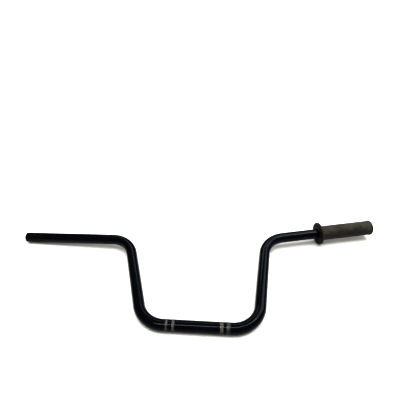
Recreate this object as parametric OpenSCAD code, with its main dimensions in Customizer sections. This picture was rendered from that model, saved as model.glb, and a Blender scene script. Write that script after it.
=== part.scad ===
// Motorcycle handlebar: a bent steel tube with its left-hand rubber grip.
// It lies on the floor on its clamp section, its bare end and the grip's flange, +Z up.
// The origin is on the tube's axis at the middle of the clamp section, +X runs along the clamp
// section towards the grip, and +Y runs up the risers. The bar has been knocked out of true, so
// the two lower bends have their own angles and the bare end drops a little.

/* [Tube] */
// Outside diameter of the tube (7/8 inch)
tube_d = 22.2; // [22:0.1:25.4]
// Wall thickness of the tube
tube_wall = 2; // [1.5:0.1:3]
// Straight length between the two lower bends, held by the clamps
clamp_length = 123; // [119:1:200]
// Radius of the lower bends, to the tube's axis
lower_bend_radius = 54; // [40:0.5:90]
// Angle of the lower bend on the bare side
bare_lower_angle = 71.5; // [60:0.5:90]
// Angle of the lower bend on the grip's side
grip_lower_angle = 82; // [60:0.5:90]
// Straight length of each riser
riser_length = 133.5; // [60:0.5:200]
// Radius of the upper bends, to the tube's axis
upper_bend_radius = 57; // [40:0.5:90]
// Angle of the upper bends
upper_bend_angle = 70; // [50:0.5:90]
// Twist of the bare side's upper bend out of the risers' plane, which drops its end
bare_drop_angle = 3; // [0:0.5:20]
// Twist of the grip side's upper bend out of the risers' plane
grip_drop_angle = 0; // [0:0.5:20]
// Straight length of each end, where the grips and controls go
end_length = 207; // [150:0.5:260]
// How much each face of the wall draws in where the tube is bent
bend_thinning = 0.05; // [0.03:0.01:0.2]
// Chamfer round the mouths of the tube
mouth_chamfer = 0.5; // [0.2:0.1:0.7]

/* [Clamp bands] */
// Distance from the middle of the bar to the outer rolled band of each clamp
outer_band_at = 55; // [51:0.5:56]
// Distance from the middle of the bar to the inner rolled band of each clamp
inner_band_at = 43; // [30:0.5:43.5]
// Width of a rolled band
band_width = 7; // [3:0.5:7]
// Depth of a groove in a rolled band
band_depth = 0.3; // [0.1:0.1:0.5]
// Grooves in each rolled band
band_grooves = 3; // [1:1:4]

/* [Grip] */
// Length of the grip over its closed end
grip_length = 128; // [110:1:140]
// Diameter of the grip's body
grip_d = 32.5; // [27:0.5:35]
// Diameter of the flange at the grip's inner end
flange_d = 51; // [38:0.5:56]
// Thickness of the flange at its rim
flange_thick = 4; // [3:0.5:8]
// Length of the cone from the flange to the body
flange_cone = 5; // [3:0.5:12]
// Thickness of the rubber over the tube's end
end_cap_thick = 4; // [3:0.5:8]
// Diameter of the ring at the closed end
end_ring_d = 34; // [30:0.5:37]
// Length of the ring at the closed end
end_ring_length = 6; // [4:0.5:10]
// Rounding of the closed end
end_round = 3; // [1:0.5:3.5]

/* [Hidden] */
$fn = 40;

bore_d = tube_d - 2 * tube_wall;
half_clamp = clamp_length / 2;
// How far a bend runs on inside the walls of the straights that it joins
bend_lap = 0.5;

// The place at a distance before the tip of one half, with the risers in the XY plane
function before_tip(lower_angle, drop_angle, distance) =
    let (
        riser_way = [cos(lower_angle), sin(lower_angle), 0],
        out_way = [
            sin(lower_angle) * cos(drop_angle),
            -cos(lower_angle) * cos(drop_angle),
            -sin(drop_angle)
        ],
        lower_bend = lower_bend_radius * [sin(lower_angle), 1 - cos(lower_angle), 0],
        upper_bend = upper_bend_radius
            * (sin(upper_bend_angle) * riser_way + (1 - cos(upper_bend_angle)) * out_way),
        end_way = cos(upper_bend_angle) * riser_way + sin(upper_bend_angle) * out_way
    )
    [half_clamp, 0, 0] + lower_bend + riser_length * riser_way + upper_bend
        + (end_length - distance) * end_way;

bare_tip = before_tip(bare_lower_angle, bare_drop_angle, 0);
flange_place = before_tip(grip_lower_angle, grip_drop_angle,
    grip_length - end_cap_thick - flange_thick / 2);
// How much further the grip's flange stands out than the tube
flange_stand = (flange_d - tube_d) / 2;
// Pitch that brings the lowest points of the bare tip and of the flange, on average, level with
// the clamp section's
lying_pitch = atan2(flange_stand - bare_tip[2] - flange_place[2], bare_tip[1] + flange_place[1]);

// A stretch of straight tube along +X from the origin, turned from the outline of its wall, whose
// points are [radius, distance along the tube]
module turned(outline) {
    rotate([90, 0, 90]) rotate_extrude() polygon(outline);
}

// A plain straight stretch of tube along +X from the origin
module straight_tube(length) {
    turned([
        [bore_d / 2, 0],
        [tube_d / 2, 0],
        [tube_d / 2, length],
        [bore_d / 2, length]
    ]);
}

// The straight end of the tube along +X from the origin, with its mouth chamfered
module end_tube() {
    turned([
        [bore_d / 2, 0],
        [tube_d / 2, 0],
        [tube_d / 2, end_length - mouth_chamfer],
        [tube_d / 2 - mouth_chamfer, end_length],
        [bore_d / 2 + mouth_chamfer, end_length],
        [bore_d / 2, end_length - mouth_chamfer]
    ]);
}

// The clamp section's right half along +X from the origin, with its rolled bands of grooves
module clamp_tube() {
    groove = band_width / (2 * band_grooves);
    starts = [
        for (at = [inner_band_at, outer_band_at], i = [0 : band_grooves - 1])
            at - band_width / 2 + (2 * i + 0.5) * groove
    ];
    turned(concat(
        [[bore_d / 2, 0], [tube_d / 2, 0]],
        [
            for (start = starts, corner = [[0, 0], [1, 0], [1, 1], [0, 1]])
                [
                    tube_d / 2 - (corner[0] == 1 ? band_depth : 0),
                    start + (corner[1] == 1 ? groove : 0)
                ]
        ],
        [[tube_d / 2, half_clamp], [bore_d / 2, half_clamp]]
    ));
}

// A bent stretch of tube from the origin, curving from +X towards +Y. Its wall is drawn a little
// thinner than the straights' and laps into both of them.
module bent_tube(radius, angle) {
    lap_angle = asin(bend_lap / radius);
    translate([0, radius, 0]) rotate([0, 0, -90 - lap_angle])
        rotate_extrude(angle = angle + 2 * lap_angle) translate([radius, 0]) difference() {
            circle(d = tube_d - 2 * bend_thinning);
            circle(d = bore_d + 2 * bend_thinning);
        }
}

// Its children start where a bend of this radius and angle ends
module after_bend(radius, angle) {
    translate([0, radius, 0]) rotate([0, 0, angle]) translate([0, -radius, 0]) children();
}

// Its children start where the right half's straight end does
module at_end(lower_angle, drop_angle) {
    at_riser_top(lower_angle, drop_angle) after_bend(upper_bend_radius, upper_bend_angle)
        children();
}

// Its children start at the top of the right riser, turned by this twist to face the upper bend
module at_riser_top(lower_angle, drop_angle) {
    translate([half_clamp, 0, 0]) after_bend(lower_bend_radius, lower_angle)
        translate([riser_length, 0, 0]) rotate([180 + drop_angle, 0, 0]) children();
}

// One half of the tube, drawn on the right, with the risers in the XY plane
module half_tube(lower_angle, drop_angle) {
    clamp_tube();
    translate([half_clamp, 0, 0]) {
        bent_tube(lower_bend_radius, lower_angle);
        after_bend(lower_bend_radius, lower_angle) straight_tube(riser_length);
    }
    at_riser_top(lower_angle, drop_angle) bent_tube(upper_bend_radius, upper_bend_angle);
    at_end(lower_angle, drop_angle) end_tube();
}

// Bent steel tube, open from end to end
module handlebar_tube() {
    color("#1b1e26") rotate([lying_pitch, 0, 0]) {
        half_tube(grip_lower_angle, grip_drop_angle);
        mirror([1, 0, 0]) half_tube(bare_lower_angle, bare_drop_angle);
    }
}

// Moulded rubber grip: a flange, a cone, a body and a ringed closed end, bored for the tube
module hand_grip() {
    start = end_length + end_cap_thick - grip_length;
    ring_start = grip_length - end_ring_length;
    color("#2e2c29") rotate([lying_pitch, 0, 0]) at_end(grip_lower_angle, grip_drop_angle)
        translate([start, 0, 0]) turned([
            [tube_d / 2, 0],
            [flange_d / 2, 0],
            [flange_d / 2, flange_thick],
            [grip_d / 2, flange_thick + flange_cone],
            [grip_d / 2, ring_start],
            [end_ring_d / 2, ring_start],
            [end_ring_d / 2, grip_length - end_round],
            [end_ring_d / 2 - end_round, grip_length],
            [0, grip_length],
            [0, grip_length - end_cap_thick],
            [tube_d / 2, grip_length - end_cap_thick]
        ]);
}

handlebar_tube();
hand_grip();
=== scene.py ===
"""Looks of a motorcycle handlebar that lies on a floor: a black tube and a worn rubber grip."""

import math

import bpy
from mathutils import Matrix, Vector, noise


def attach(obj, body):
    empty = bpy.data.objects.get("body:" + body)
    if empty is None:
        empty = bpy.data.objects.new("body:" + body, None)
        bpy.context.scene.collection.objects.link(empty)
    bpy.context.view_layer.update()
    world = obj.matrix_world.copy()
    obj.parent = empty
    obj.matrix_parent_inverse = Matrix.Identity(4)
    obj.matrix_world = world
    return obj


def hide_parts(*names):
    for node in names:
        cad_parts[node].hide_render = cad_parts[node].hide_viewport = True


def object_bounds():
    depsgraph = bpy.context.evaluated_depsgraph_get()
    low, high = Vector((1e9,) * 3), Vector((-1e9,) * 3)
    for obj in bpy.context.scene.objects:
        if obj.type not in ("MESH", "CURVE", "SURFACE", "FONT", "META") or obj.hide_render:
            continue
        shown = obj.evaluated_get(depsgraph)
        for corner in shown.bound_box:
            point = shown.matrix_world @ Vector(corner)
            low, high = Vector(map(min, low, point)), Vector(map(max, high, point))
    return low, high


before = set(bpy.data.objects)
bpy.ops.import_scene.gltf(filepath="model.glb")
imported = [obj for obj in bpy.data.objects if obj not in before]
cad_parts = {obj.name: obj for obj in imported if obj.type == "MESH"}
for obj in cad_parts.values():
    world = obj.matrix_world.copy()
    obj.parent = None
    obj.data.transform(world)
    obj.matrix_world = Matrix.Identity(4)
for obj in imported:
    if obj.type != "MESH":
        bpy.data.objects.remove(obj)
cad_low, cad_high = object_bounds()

MM = 0.001

# The tube's design sizes, the same as the CAD model's
TUBE_RADIUS = 11.1 * MM
BORE_RADIUS = 9.1 * MM
HALF_CLAMP = 61.5 * MM
LOWER_BEND_RADIUS = 54 * MM
BARE_LOWER_ANGLE = math.radians(71.5)
GRIP_LOWER_ANGLE = math.radians(82)
RISER_LENGTH = 133.5 * MM
UPPER_BEND_RADIUS = 57 * MM
UPPER_BEND_ANGLE = math.radians(70)
BARE_DROP_ANGLE = math.radians(3)
GRIP_DROP_ANGLE = 0.0
END_LENGTH = 207 * MM
MOUTH_CHAMFER = 0.5 * MM

# The rolled bands that the clamps bite on
BAND_WIDTH = 7 * MM
BAND_RISE = 0.12 * MM
# How deep the hollows of the knurl are, and how far the edges of a band sink into the tube
KNURL_HOLLOW = 0.1 * MM
BAND_SINK = 0.3 * MM
# How far each patch of wear takes to fade along the tube
WEAR_FADE = 0.4 * MM
# Each band's middle, how wide its paint is worn away, how far gone it is, and how bright its edges
BANDS = {
    "left_outer": (-55 * MM, 3.4 * MM, 0.80, 0.0),
    "left_inner": (-43 * MM, 5.0 * MM, 0.74, 0.0),
    "right_inner": (43 * MM, 6.8 * MM, 0.84, 0.0),
    "right_outer": (55 * MM, 7.0 * MM, 0.56, 0.35),
}

# How far the worn, dull paint reaches from the bare end
DULL_LENGTH = 44 * MM

# The grip
GRIP_LENGTH = 128 * MM
GRIP_RADIUS = 16.25 * MM
FLANGE_RADIUS = 25.5 * MM
FLANGE_THICK = 4 * MM
FLANGE_CONE = 5 * MM
END_CAP_THICK = 4 * MM
END_RING_RADIUS = 17 * MM
END_RING_LENGTH = 6 * MM
END_ROUND = 3.4 * MM
# The ribs on the flange's face, and the grooves between the tiles of the body
RIB_RISE = 0.7 * MM
GROOVE_DEPTH = 0.45 * MM

# The room
FLOOR_HALF_SIZE = 12
SUN_STRENGTH = 2.6
ROOM_STRENGTH = 0.55

# Where the camera stands, seen from the point it aims at on the floor
CAMERA_TARGET = Vector((-0.0196, 0.3758, 0))
CAMERA_AZIMUTH, CAMERA_ELEVATION = math.radians(4.02), math.radians(36.91)
CAMERA_DISTANCE = 0.8864
CAMERA_ROLL = math.radians(-0.52)
CAMERA_LENS = 29.64


# ---------------------------------------------------------------- the shader's small language


class Value:
    """A socket in a material, so that shader maths reads as plain sums."""

    def __init__(self, paint, socket):
        self.paint = paint
        self.socket = socket

    def sum_with(self, operation, other, swapped=False):
        first, second = (other, self) if swapped else (self, other)
        return self.paint.node(
            "ShaderNodeMath", {"operation": operation}, {0: first, 1: second}
        )

    def __add__(self, other):
        return self.sum_with("ADD", other)

    def __radd__(self, other):
        return self.sum_with("ADD", other, True)

    def __sub__(self, other):
        return self.sum_with("SUBTRACT", other)

    def __rsub__(self, other):
        return self.sum_with("SUBTRACT", other, True)

    def __mul__(self, other):
        return self.sum_with("MULTIPLY", other)

    def __rmul__(self, other):
        return self.sum_with("MULTIPLY", other, True)


class Paint:
    """A material under construction, with one method that adds any node."""

    def __init__(self, name):
        self.material = bpy.data.materials.new(name)
        self.material.use_nodes = True
        self.tree = self.material.node_tree
        self.shader = self.tree.nodes["Principled BSDF"]

    def put(self, socket, value):
        if isinstance(value, Value):
            self.tree.links.new(value.socket, socket)
        else:
            socket.default_value = value

    def node(self, kind, settings=None, inputs=None, output=0):
        made = self.tree.nodes.new(kind)
        for name, setting in (settings or {}).items():
            setattr(made, name, setting)
        for key, value in (inputs or {}).items():
            self.put(made.inputs[key], value)
        return Value(self, made.outputs[output])

    def finish(self, **inputs):
        """Feeds the shader's own sockets, whose names are given with underscores for spaces."""
        for name, value in inputs.items():
            self.put(self.shader.inputs[name.replace("_", " ")], value)
        return self.material

    # Shorthands for the nodes that these materials use most

    def attribute(self, name, output="Vector"):
        return self.node(
            "ShaderNodeAttribute", {"attribute_name": name}, output=output
        )

    def parts(self, vector):
        split = self.node("ShaderNodeSeparateXYZ", inputs={0: vector})
        node = split.socket.node
        return [Value(self, node.outputs[i]) for i in range(3)]

    def stretched(self, vector, scale):
        return self.node(
            "ShaderNodeVectorMath", {"operation": "MULTIPLY"}, {0: vector, 1: scale}
        )

    def speckle(self, vector, scale, detail=2.0, roughness=0.5, shift=0.0):
        return self.node(
            "ShaderNodeTexNoise",
            {"noise_dimensions": "4D"},
            {
                "Vector": vector,
                "W": shift,
                "Scale": scale,
                "Detail": detail,
                "Roughness": roughness,
            },
        )

    def step(self, value, low, high):
        """0 below low and 1 above high, smoothly between; low may be the larger one."""
        return self.node(
            "ShaderNodeMapRange",
            {"interpolation_type": "SMOOTHSTEP", "clamp": True},
            {"Value": value, "From Min": low, "From Max": high},
        )

    def mix(self, amount, first, second):
        return self.node(
            "ShaderNodeMix",
            {"data_type": "RGBA"},
            {"Factor": amount, 6: first, 7: second},
            output=2,
        )

    def bump(self, height, strength, distance, under=None):
        inputs = {"Strength": strength, "Distance": distance, "Height": height}
        if under is not None:
            inputs["Normal"] = under
        return self.node("ShaderNodeBump", inputs=inputs)


# ---------------------------------------------------------------- materials


def tube_paint():
    """Gloss black enamel with dust on its upper side, light scuffs, and a dull worn bare end."""
    paint = Paint("tube_paint")
    skin = paint.attribute("skin")
    along, _, _ = paint.parts(skin)
    position = paint.node("ShaderNodeTexCoord", output=3)
    facing = paint.node("ShaderNodeNewGeometry", output=1)
    _, _, facing_up = paint.parts(facing)

    # The bare end, where a throttle turned, has lost its gloss
    ragged = 12 * MM * (paint.speckle(position, 90.0) - 0.5)
    dull_from = DULL_LENGTH - BAR.bare_length
    bare = paint.step(along + ragged, dull_from + 3 * MM, dull_from - 3 * MM)
    smudge = paint.speckle(position, 22.0, 4.0, 0.6)
    specks = paint.step(paint.speckle(position, 900.0, 3.0, 0.6, 2.0), 0.6, 0.72)
    lie = paint.step(facing_up, 0.1, 0.9)
    dust = specks * lie * paint.step(smudge, 0.4, 0.65)
    streaks = paint.speckle(paint.stretched(skin, (40.0, 900.0, 900.0)), 1.0, 3.0, 0.5)
    scratch = paint.step(streaks, 0.66, 0.74) * paint.step(smudge, 0.45, 0.7)
    chips = paint.step(paint.speckle(position, 210.0, 2.0, 0.4, 7.0), 0.765, 0.785)

    black = paint.mix(smudge, (0.0052, 0.0063, 0.0092, 1), (0.0094, 0.0112, 0.0160, 1))
    dull = paint.mix(
        paint.speckle(position, 260.0, 4.0, 0.6),
        (0.005, 0.005, 0.0047, 1),
        (0.013, 0.0125, 0.0112, 1),
    )
    colour = paint.mix(bare, black, dull)
    colour = paint.mix(0.35 * dust, colour, (0.20, 0.19, 0.17, 1))
    colour = paint.mix(0.12 * scratch, colour, (0.25, 0.25, 0.26, 1))
    colour = paint.mix(chips, colour, (0.30, 0.29, 0.27, 1))

    roughness = 0.06 + 0.07 * smudge + 0.25 * dust + 0.12 * scratch + 0.35 * bare
    orange_peel = paint.speckle(position, 380.0, 1.0)
    normal = paint.bump(orange_peel, 0.03, 0.0004)
    normal = paint.bump(streaks * bare, 0.25, 0.0004, normal)
    normal = paint.bump(1 - chips, 0.6, 0.0002, normal)
    return paint.finish(
        Base_Color=colour,
        Roughness=roughness,
        Normal=normal,
        Specular_IOR_Level=0.12,
    )


def bare_steel():
    """The cut face and the bore of the tube: dark oxidised steel."""
    paint = Paint("bare_steel")
    position = paint.node("ShaderNodeTexCoord", output=3)
    blotch = paint.speckle(position, 180.0, 5.0, 0.65)
    rust = paint.step(paint.speckle(position, 90.0, 4.0, 0.6, 3.0), 0.48, 0.62)
    steel = paint.mix(blotch, (0.03, 0.028, 0.026, 1), (0.12, 0.115, 0.11, 1))
    colour = paint.mix(0.8 * rust, steel, (0.075, 0.034, 0.017, 1))
    return paint.finish(
        Base_Color=colour,
        Roughness=0.45 + 0.35 * rust,
        Metallic=0.8 - 0.7 * rust,
        Normal=paint.bump(blotch, 0.3, 0.0005),
    )


def worn_band():
    """Knurled steel that the clamps have bitten through the paint."""
    paint = Paint("worn_band")
    position = paint.node("ShaderNodeTexCoord", output=3)
    height = paint.attribute("height", output="Fac")
    # The wear attribute holds real wear, faded out towards the band's lower side as painted shade
    wear = paint.attribute("wear", output="Fac")
    patches = paint.speckle(position, 190.0, 4.0, 0.65, 1.0)
    worn = paint.step(wear + 1.1 * (patches - 0.5) + 0.25 * (height - 0.5), 0.4, 0.8)
    grey = paint.mix(
        paint.speckle(position, 700.0, 3.0),
        (0.065, 0.058, 0.050, 1),
        (0.27, 0.246, 0.214, 1),
    )
    colour = paint.mix(worn, (0.007, 0.008, 0.010, 1), grey)
    return paint.finish(
        Base_Color=colour,
        Roughness=0.30 + 0.25 * worn,
        Metallic=0.35 * worn,
        Normal=paint.bump(patches, 0.2, 0.0003),
    )


def grip_rubber():
    """Dusty moulded rubber, with a painted highlight on its upper and far sides and painted shade
    in its hollows.
    """
    paint = Paint("grip_rubber")
    position = paint.node("ShaderNodeTexCoord", output=3)
    height = paint.attribute("height", output="Fac")
    clean = paint.attribute("clean", output="Fac")
    broad = paint.speckle(position, 55.0, 4.0, 0.6)
    fine = paint.speckle(position, 700.0, 4.0, 0.65, 4.0)
    facing = paint.node("ShaderNodeNewGeometry", output=1)
    _, facing_away, facing_up = paint.parts(facing)

    rubber = paint.mix(fine, (0.0145, 0.0134, 0.0121, 1), (0.030, 0.0275, 0.0245, 1))
    pale_dust_and_highlight = paint.mix(fine, (0.038, 0.034, 0.028, 1), (0.100, 0.088, 0.070, 1))
    # The pale dust colour rises on upward and far-facing sides as a painted highlight, and fades in
    # the grooves between tiles as painted shade
    dust_and_painted_light = 1.8 * broad + 0.35 * height + 0.2 * facing_up + 0.25 * facing_away
    dust = paint.step(dust_and_painted_light, 0.85, 1.55)
    colour = paint.mix(dust * (1 - clean), rubber, pale_dust_and_highlight)
    grain = paint.bump(fine, 0.35, 0.0006)
    return paint.finish(
        Base_Color=colour,
        Roughness=0.62 + 0.25 * dust * (1 - clean),
        Normal=grain,
        Specular_IOR_Level=0.35,
    )


def floor_white():
    """Pale painted floor with faint marks."""
    paint = Paint("floor_white")
    position = paint.node("ShaderNodeTexCoord", output=3)
    cloud = paint.speckle(position, 6.0, 5.0, 0.6)
    colour = paint.mix(cloud, (0.86, 0.86, 0.85, 1), (0.93, 0.93, 0.92, 1))
    return paint.finish(Base_Color=colour, Roughness=0.75)


# ---------------------------------------------------------------- the tube's line


class Half:
    """The axis of one half of the tube, drawn on the right with the risers in the XY plane."""

    def __init__(self, lower, drop_angle):
        ahead, inward = Vector((1, 0, 0)), Vector((0, 1, 0))
        up_riser = Vector((math.cos(lower), math.sin(lower), 0))
        outward = Vector(
            (
                math.sin(lower) * math.cos(drop_angle),
                -math.cos(lower) * math.cos(drop_angle),
                -math.sin(drop_angle),
            )
        )
        # Each stretch is its start, its way, the side it bends to, its bend radius and its length
        self.stretches = []
        place = Vector((0, 0, 0))
        for way, side, radius, length in (
            (ahead, inward, 0, HALF_CLAMP),
            (ahead, inward, LOWER_BEND_RADIUS, LOWER_BEND_RADIUS * lower),
            (up_riser, outward, 0, RISER_LENGTH),
            (up_riser, outward, UPPER_BEND_RADIUS, UPPER_BEND_RADIUS * UPPER_BEND_ANGLE),
        ):
            self.stretches.append((place, way, side, radius, length))
            place, end_way = self.follow(self.stretches[-1], length)
        self.stretches.append((place, end_way, side, 0, END_LENGTH))
        self.tip, _ = self.follow(self.stretches[-1], END_LENGTH)
        self.length = sum(stretch[4] for stretch in self.stretches)

    def follow(self, stretch, distance):
        """The place and way at a distance along one stretch."""
        start, way, side, radius, _ = stretch
        if not radius:
            return start + distance * way, way
        turn = distance / radius
        place = start + radius * (math.sin(turn) * way + (1 - math.cos(turn)) * side)
        return place, math.cos(turn) * way + math.sin(turn) * side

    def at(self, distance):
        """The place and way at a distance from the middle of the bar."""
        for stretch in self.stretches:
            if distance <= stretch[4] or stretch is self.stretches[-1]:
                break
            distance -= stretch[4]
        return self.follow(stretch, distance)

    def stops(self, straight_step, turn_step):
        """Distances of rings: sparse on the straights and close in the bends."""
        found, done = [], 0.0
        for _, _, _, radius, length in self.stretches:
            step = radius * turn_step if radius else straight_step
            count = max(1, round(length / step))
            found += [done + length * (i + 1) / count for i in range(count)]
            done += length
        return found


class Bar:
    """The whole axis as it lies, with the bare half at negative distances."""

    def __init__(self):
        self.bare = Half(BARE_LOWER_ANGLE, BARE_DROP_ANGLE)
        self.gripped = Half(GRIP_LOWER_ANGLE, GRIP_DROP_ANGLE)
        # The pitch at which the bare tip and the grip's flange lie as low as the clamp section
        flange_at = self.gripped.length + END_CAP_THICK - GRIP_LENGTH + FLANGE_THICK / 2
        bare, (flange, _) = self.bare.tip, self.gripped.at(flange_at)
        drop = FLANGE_RADIUS - TUBE_RADIUS - bare.z - flange.z
        self.lie = Matrix.Rotation(math.atan2(drop, bare.y + flange.y), 3, "X")
        self.bare_length = self.bare.length
        self.grip_length = self.gripped.length

    def at(self, distance):
        """The place and way at a distance from the middle, measured towards the grip."""
        half = self.bare if distance < 0 else self.gripped
        place, way = (self.lie @ v for v in half.at(abs(distance)))
        if distance < 0:
            place.x, way.y, way.z = -place.x, -way.y, -way.z
        return place, way

    def stops(self, straight_step, turn_step):
        bare = [-d for d in reversed(self.bare.stops(straight_step, turn_step))]
        return bare + [0.0] + self.gripped.stops(straight_step, turn_step)


BAR = Bar()


def across_of(way):
    """Two directions square to the tube's way: one level, one as near upright as can be."""
    level = Vector((0, 0, 1)).cross(way).normalized()
    return level, way.cross(level)


def new_piece(name, mesh, *materials):
    piece = bpy.data.objects.new(name, mesh)
    bpy.context.collection.objects.link(piece)
    for material in materials:
        mesh.materials.append(material)
    for face in mesh.polygons:
        face.use_smooth = True
    return piece


def rings_mesh(name, rings, attributes, looped=False, capped=False, tags=None):
    """Joins rings of points with quads, into a loop or with its last ring capped.

    attributes maps a name to one value for each point. tags gives a material to each row of quads.
    """
    count = len(rings[0])
    mesh = bpy.data.meshes.new(name)
    points = [p for ring in rings for p in ring]
    faces = []
    rows = len(rings) if looped else len(rings) - 1
    for i in range(rows):
        a, b = i * count, (i + 1) % len(rings) * count
        for j in range(count):
            k = (j + 1) % count
            faces.append((a + j, a + k, b + k, b + j))
    if capped:
        faces.append(tuple(range((len(rings) - 1) * count, len(rings) * count)))
    mesh.from_pydata(points, [], faces)
    if tags:
        for i, face in enumerate(mesh.polygons):
            face.material_index = tags[i // count]
    for key, values in attributes.items():
        if isinstance(values[0], tuple):
            layer = mesh.attributes.new(key, "FLOAT_VECTOR", "POINT")
            layer.data.foreach_set("vector", [c for v in values for c in v])
        else:
            layer = mesh.attributes.new(key, "FLOAT", "POINT")
            layer.data.foreach_set("value", values)
    mesh.update()
    return mesh


def ring_round(centre, way, radii, shifts=None):
    """A ring of points round a centre, one for each radius, each shifted along the way."""
    level, upright = across_of(way)
    turn = 2 * math.pi / len(radii)
    ring = []
    for j, radius in enumerate(radii):
        spoke = math.cos(j * turn) * level + math.sin(j * turn) * upright
        place = centre + shifts[j] * way if shifts else centre
        ring.append(place + radius * spoke)
    return ring


def ring_at(distance, radii):
    """A ring of points round the tube's axis, at a distance from the middle of the bar."""
    centre, way = BAR.at(distance)
    return ring_round(centre, way, radii)


# ---------------------------------------------------------------- pieces


def make_tube():
    """The bent tube: its painted outside, its chamfered mouths and its bore, as one closed skin."""
    sides = 72
    turn = 2 * math.pi / sides
    grip_lip = BAR.grip_length - MOUTH_CHAMFER
    bare_lip = MOUTH_CHAMFER - BAR.bare_length
    stops = [d for d in BAR.stops(4 * MM, math.radians(2.5)) if bare_lip < d < grip_lip]
    soft = 0.12 * MM
    # Each mouth's outline from the outside to the bore: distance past the lip, and radius
    mouth = (
        (0, TUBE_RADIUS),
        (soft, TUBE_RADIUS - soft / 3),
        (MOUTH_CHAMFER - soft, TUBE_RADIUS - MOUTH_CHAMFER + soft / 2),
        (MOUTH_CHAMFER, TUBE_RADIUS - MOUTH_CHAMFER - soft),
        (MOUTH_CHAMFER, BORE_RADIUS + MOUTH_CHAMFER),
        (0, BORE_RADIUS),
    )
    outside = [(d, TUBE_RADIUS) for d in stops]
    grip_mouth = [(grip_lip + d, r) for d, r in mouth]
    bore = [(d, BORE_RADIUS) for d in reversed(stops)]
    bare_mouth = [(bare_lip - d, r) for d, r in reversed(mouth)]
    outline = outside + grip_mouth + bore + bare_mouth
    rings, skins = [], []
    for distance, radius in outline:
        rings.append(ring_at(distance, [radius] * sides))
        skins += [
            (distance, radius * math.cos(j * turn), radius * math.sin(j * turn))
            for j in range(sides)
        ]
    painted = len(outside) + 3
    tags = [0 if i < painted else 1 for i in range(len(rings))]
    tags[-4:] = [0] * 4
    mesh = rings_mesh("tube", rings, {"skin": skins}, looped=True, tags=tags)
    piece = new_piece("tube", mesh, tube_paint(), bare_steel())
    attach(piece, "root")
    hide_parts("handlebar_tube")
    return piece


def make_band(name, material, middle, worn_width, wear, edge_wear):
    """A band of diamond knurl rolled into the tube: its worn steel shows only on the upper side, so
    the lower side stays dark as painted shade.
    """
    sides, rows = 288, 42
    diamonds_round, diamonds_along = 48, 6
    rings, heights, wear_and_painted_shade = [], [], []
    # Stops along the band, from -0.5 to 0.5, and whether each is a sunken edge
    outline = [(-0.5, True)] + [(i / rows - 0.5, False) for i in range(rows + 1)] + [(0.5, True)]
    for place, sunken in outline:
        radii = []
        edge = min(1.0, (0.5 - abs(place)) * 12)
        inside = (worn_width / 2 - abs(place) * BAND_WIDTH) / WEAR_FADE
        share = wear * max(0.0, min(1.0, inside)) + (edge_wear if abs(place) > 0.4 else 0.0)
        for j in range(sides):
            around = diamonds_round * j / sides
            beside = diamonds_along * place
            ridge = 1 - min(
                abs(((around + beside) % 1) - 0.5), abs(((around - beside) % 1) - 0.5)
            ) * 4
            ridge = max(0.0, ridge)
            uneven = noise.noise(Vector((around * 0.35, beside * 0.7, middle / MM)))
            height = (1 - ridge) * edge * (0.85 + 0.3 * uneven)
            if sunken:
                radii.append(TUBE_RADIUS - BAND_SINK)
            else:
                radii.append(TUBE_RADIUS - KNURL_HOLLOW + (BAND_RISE + KNURL_HOLLOW) * height)
            heights.append(0.0 if sunken else max(0.0, min(1.0, height)))
            # Painted shade: the worn steel fades out towards the band's lower side, leaving it dark
            upper = 0.5 + 0.5 * math.sin(2 * math.pi * j / sides)
            wear_and_painted_shade.append(share * max(0.0, min(1.0, 2.2 * (upper - 0.35))))
        rings.append(ring_at(middle + place * BAND_WIDTH, radii))
    mesh = rings_mesh(name, rings, {"height": heights, "wear": wear_and_painted_shade})
    piece = new_piece(name, mesh, material)
    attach(piece, "root")
    return piece


def grip_outline():
    """Stops along the grip: distance from the flange's face, radius, and what the stretch is."""
    stops = [
        (0.0, TUBE_RADIUS, "face"),
        (0.0, TUBE_RADIUS + 1.2 * MM, "face"),
    ]
    for i in range(1, 13):
        share = i / 12
        radius = TUBE_RADIUS + 1.2 * MM + share * (FLANGE_RADIUS - TUBE_RADIUS - 2.4 * MM)
        stops.append((0.9 * MM * math.sin(math.pi * share), radius, "face"))
    middle = FLANGE_THICK / 2
    for i in range(9):
        turn = math.pi * (i / 8 - 0.5)
        stops.append(
            (
                middle + (middle - 0.3 * MM) * math.sin(turn),
                FLANGE_RADIUS - 1.0 * MM + 1.0 * MM * math.cos(turn),
                "rim",
            )
        )
    cone = FLANGE_CONE + 1.0 * MM
    for i in range(10):
        share = (i + 1) / 10
        drop = FLANGE_RADIUS - 1.2 * MM - GRIP_RADIUS
        stops.append(
            (
                FLANGE_THICK + cone * share ** 1.8,
                GRIP_RADIUS + drop * (1 - share) ** 1.6,
                "cone",
            )
        )
    start, end = FLANGE_THICK + cone + 1.5 * MM, GRIP_LENGTH - END_RING_LENGTH - 1.5 * MM
    rows = 264
    for i in range(rows + 1):
        stops.append((start + (end - start) * i / rows, GRIP_RADIUS, "body"))
    ring = GRIP_LENGTH - END_RING_LENGTH
    stops += [
        (ring - 0.6 * MM, GRIP_RADIUS, "neck"),
        (ring, GRIP_RADIUS + 0.1 * MM, "neck"),
        (ring + 0.3 * MM, END_RING_RADIUS - 0.25 * MM, "ring"),
        (ring + 0.8 * MM, END_RING_RADIUS, "ring"),
        (ring + 2.6 * MM, END_RING_RADIUS, "ring"),
    ]
    for i in range(1, 9):
        turn = math.pi / 2 * i / 8
        stops.append(
            (
                GRIP_LENGTH - END_ROUND + END_ROUND * math.sin(turn),
                END_RING_RADIUS - END_ROUND * (1 - math.cos(turn)),
                "ring",
            )
        )
    for radius in (11.5, 9.0, 6.0, 3.2, 3.0):
        stops.append((GRIP_LENGTH - (0.5 * MM if radius < 3.1 else 0), radius * MM, "end"))
    return stops


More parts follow.
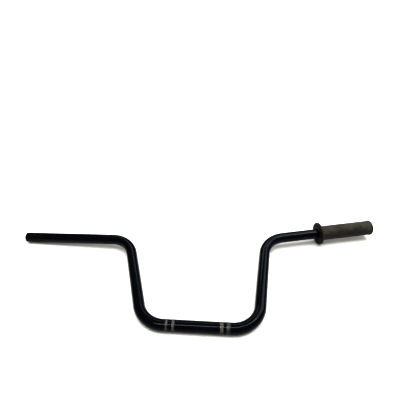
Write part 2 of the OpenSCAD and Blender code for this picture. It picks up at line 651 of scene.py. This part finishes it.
def make_grip():
    """The moulded grip: ribbed flange, waffled body and a plain rounded end."""
    sides = 288
    ribs, tiles_round, tiles_along = 24, 36, 44
    rings, heights, cleans = [], [], []
    cleanness = {"face": 0.9, "rim": 0.8, "ring": 0.7, "end": 0.6}
    tube_end, way = BAR.at(BAR.grip_length)
    flange_place = tube_end + (END_CAP_THICK - GRIP_LENGTH) * way
    body = [d for d, _, kind in grip_outline() if kind == "body"]
    body_start, body_length = body[0], body[-1] - body[0]
    for distance, radius, kind in grip_outline():
        radii, shifts = [], []
        for j in range(sides):
            around = j / sides
            height, shift = 0.6, 0.0
            if kind == "face":
                share = (radius - TUBE_RADIUS) / (FLANGE_RADIUS - TUBE_RADIUS)
                fan = 0.5 + 0.5 * math.cos(2 * math.pi * ribs * around)
                height = fan * min(1.0, 4 * share, 5 * (1 - share))
                shift = -RIB_RISE * height
            elif kind == "body":
                beside = (distance - body_start) / body_length * tiles_along
                cell = max(
                    abs(((around * tiles_round) % 1) - 0.5), abs((beside % 1) - 0.5)
                )
                height = 1 - max(0.0, min(1.0, (cell - 0.32) / 0.12))
                edge = min(1.0, beside, tiles_along - beside)
                height = height * edge + (1 - edge)
            radii.append(radius - (GROOVE_DEPTH * (1 - height) if kind == "body" else 0))
            shifts.append(shift)
            heights.append(height)
            cleans.append(cleanness.get(kind, 0.0))
        rings.append(ring_round(flange_place + distance * way, way, radii, shifts))
    attributes = {"height": heights, "clean": cleans}
    mesh = rings_mesh("grip", rings, attributes, capped=True)
    piece = new_piece("grip", mesh, grip_rubber())
    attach(piece, "root")
    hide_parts("hand_grip")
    return piece


# ---------------------------------------------------------------- room, light and camera


def make_floor():
    """A level floor through the CAD model's lowest point, on the rim of the grip's flange."""
    size = FLOOR_HALF_SIZE
    mesh = bpy.data.meshes.new("floor")
    corners = [(-size, -size), (size, -size), (size, size), (-size, size)]
    mesh.from_pydata([(x, y, cad_low[2]) for x, y in corners], [], [(0, 1, 2, 3)])
    piece = new_piece("floor", mesh, floor_white())


def aimed(thing, place, target, roll=0.0):
    """Puts a camera or lamp at a place, looking at a target."""
    turn = (target - place).to_track_quat("-Z", "Y").to_matrix()
    thing.matrix_world = Matrix.Translation(place) @ (
        turn @ Matrix.Rotation(roll, 3, "Z")
    ).to_4x4()


def make_camera():
    camera = bpy.data.objects.new("camera", bpy.data.cameras.new("camera"))
    bpy.context.collection.objects.link(camera)
    camera.data.lens = CAMERA_LENS
    camera.data.sensor_width = 36
    camera.data.clip_start = 0.01
    back = Vector(
        (
            math.sin(CAMERA_AZIMUTH) * math.cos(CAMERA_ELEVATION),
            -math.cos(CAMERA_AZIMUTH) * math.cos(CAMERA_ELEVATION),
            math.sin(CAMERA_ELEVATION),
        )
    )
    aimed(camera, CAMERA_TARGET + CAMERA_DISTANCE * back, CAMERA_TARGET, CAMERA_ROLL)
    bpy.context.scene.camera = camera


def make_lamp(name, place, target, size, watts, colour=(1, 1, 1)):
    lamp = bpy.data.objects.new(name, bpy.data.lights.new(name, "AREA"))
    bpy.context.collection.objects.link(lamp)
    lamp.data.shape = "RECTANGLE"
    lamp.data.size, lamp.data.size_y = size
    lamp.data.energy = watts
    lamp.data.color = colour
    aimed(lamp, Vector(place), Vector(target))
    return lamp


def show_to(lamp, floor_and_shade, reflections):
    """Says whether a lamp lights matt surfaces and whether gloss shows its shape."""
    lamp.visible_diffuse = floor_and_shade
    lamp.visible_glossy = reflections


def make_light():
    middle = (cad_low + cad_high) / 2
    # Soft daylight from almost straight above
    sun = bpy.data.objects.new("daylight", bpy.data.lights.new("daylight", "SUN"))
    bpy.context.collection.objects.link(sun)
    sun.data.energy = SUN_STRENGTH
    sun.data.angle = math.radians(50)
    sun.data.color = (1, 0.985, 0.95)
    aimed(sun, Vector((0.1, 0.12, 2)), Vector((0, 0, 0)))
    show_to(sun, True, False)
    # Lamps that only gloss shows: two strips, near overhead and far beyond, and a window
    near_strip = make_lamp("near_strip", (0.2, -0.25, 2.1), middle, (2.6, 0.26), 34)
    far_strip = make_lamp("far_strip", (0.0, 1.6, 1.4), middle, (2.2, 0.4), 11, (0.85, 0.93, 1))
    window = make_lamp("window", (1.25, 0.85, 1.6), middle, (1.3, 1.5), 26, (0.78, 0.88, 1))
    for lamp in (near_strip, far_strip, window):
        show_to(lamp, False, True)
    world = bpy.data.worlds.new("room")
    world.use_nodes = True
    background = world.node_tree.nodes["Background"]
    background.inputs["Color"].default_value = (1, 0.985, 0.94, 1)
    background.inputs["Strength"].default_value = ROOM_STRENGTH
    world.cycles_visibility.glossy = False
    scene = bpy.context.scene
    scene.world = world
    scene.view_settings.view_transform = "Standard"
    scene.view_settings.look = "Very High Contrast"


make_camera()
make_light()
make_floor()
make_tube()
band_material = worn_band()
for band_name, band in BANDS.items():
    make_band(f"clamp_band_{band_name}", band_material, *band)
make_grip()
